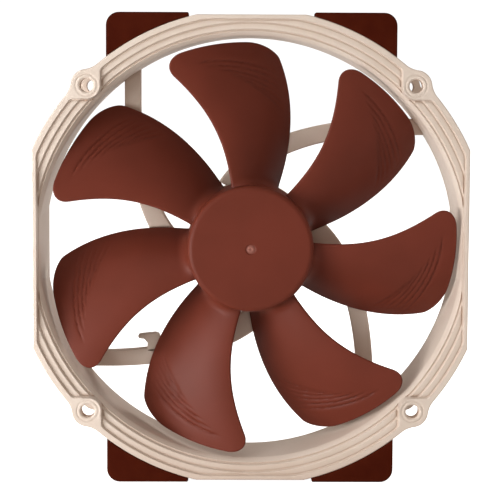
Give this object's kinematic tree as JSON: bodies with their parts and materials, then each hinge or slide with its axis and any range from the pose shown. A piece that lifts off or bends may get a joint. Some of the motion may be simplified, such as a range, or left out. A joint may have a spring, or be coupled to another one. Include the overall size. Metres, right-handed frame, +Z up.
{
  "type": "axial case fan",
  "caption": "Axial cooling fan with a round flanged frame, stepped inlet, swept-blade impeller on a sleeve bearing, curved rear struts and corner vibration pads.",
  "frame": {"origin": "on the rotor's axis, half way through the fan's depth", "axes": "+X right and +Z up seen from the intake side; +Y along the rotor's axis, the way the air leaves"},
  "size_m": [0.14, 0.025, 0.1514],
  "materials": {
    "beige_plastic": "fine satin moulded texture",
    "brown_silicone": "smooth satin silicone",
    "label_paper": "plain matt paper, no print",
    "brass": "turned",
    "sintered_bronze": "porous, oil soaked",
    "nickel_magnet": "nickel plated",
    "white_polymer": "smooth",
    "lamination_steel": "stacked sheets",
    "black_plastic": "moulded",
    "copper_wire": "enamelled copper winding",
    "board_laminate": "solder mask",
    "chip_epoxy": "moulded epoxy",
    "capacitor_ceramic": "fired",
    "resistor_ceramic": "fired",
    "tinned_metal": "tinned",
    "brown_plastic": "fine satin moulded texture",
    "yoke_steel": "deep drawn, zinc plated",
    "bonded_ferrite": "matt",
    "ground_steel": "ground and polished"
  },
  "bodies": {
    "frame": {"frame": "beige_plastic", "pad_front_top_left": "brown_silicone", "pad_front_top_right": "brown_silicone", "pad_front_bottom_left": "brown_silicone", "pad_front_bottom_right": "brown_silicone", "pad_rear_top_left": "brown_silicone", "pad_rear_top_right": "brown_silicone", "pad_rear_bottom_left": "brown_silicone", "pad_rear_bottom_right": "brown_silicone", "rear_label": "label_paper", "bearing_shell": "brass", "bearing_sleeve": "sintered_bronze", "bearing_magnet": "nickel_magnet", "thrust_pad": "white_polymer", "oil_seal": "white_polymer", "stator_core": "lamination_steel", "insulator_front": "black_plastic", "insulator_rear": "black_plastic", "coil_1": "copper_wire", "coil_2": "copper_wire", "coil_3": "copper_wire", "coil_4": "copper_wire", "circuit_board": "board_laminate", "driver_chip": "chip_epoxy", "hall_sensor": "chip_epoxy", "capacitors": "capacitor_ceramic", "resistors": "resistor_ceramic", "winding_pins": "tinned_metal", "lead_pads": "tinned_metal"},
    "rotor": {"impeller": "brown_plastic", "rotor_yoke": "yoke_steel", "magnet_ring": "bonded_ferrite", "shaft_bush": "brass", "shaft": "ground_steel", "retaining_clip": "white_polymer"}
  },
  "joints": [
    {"name": "rotor_spin", "type": "hinge", "parent": "frame", "child": "rotor", "pos_m": [0, 0, 0], "axis": [0, 1, 0], "continuous": true}
  ]
}
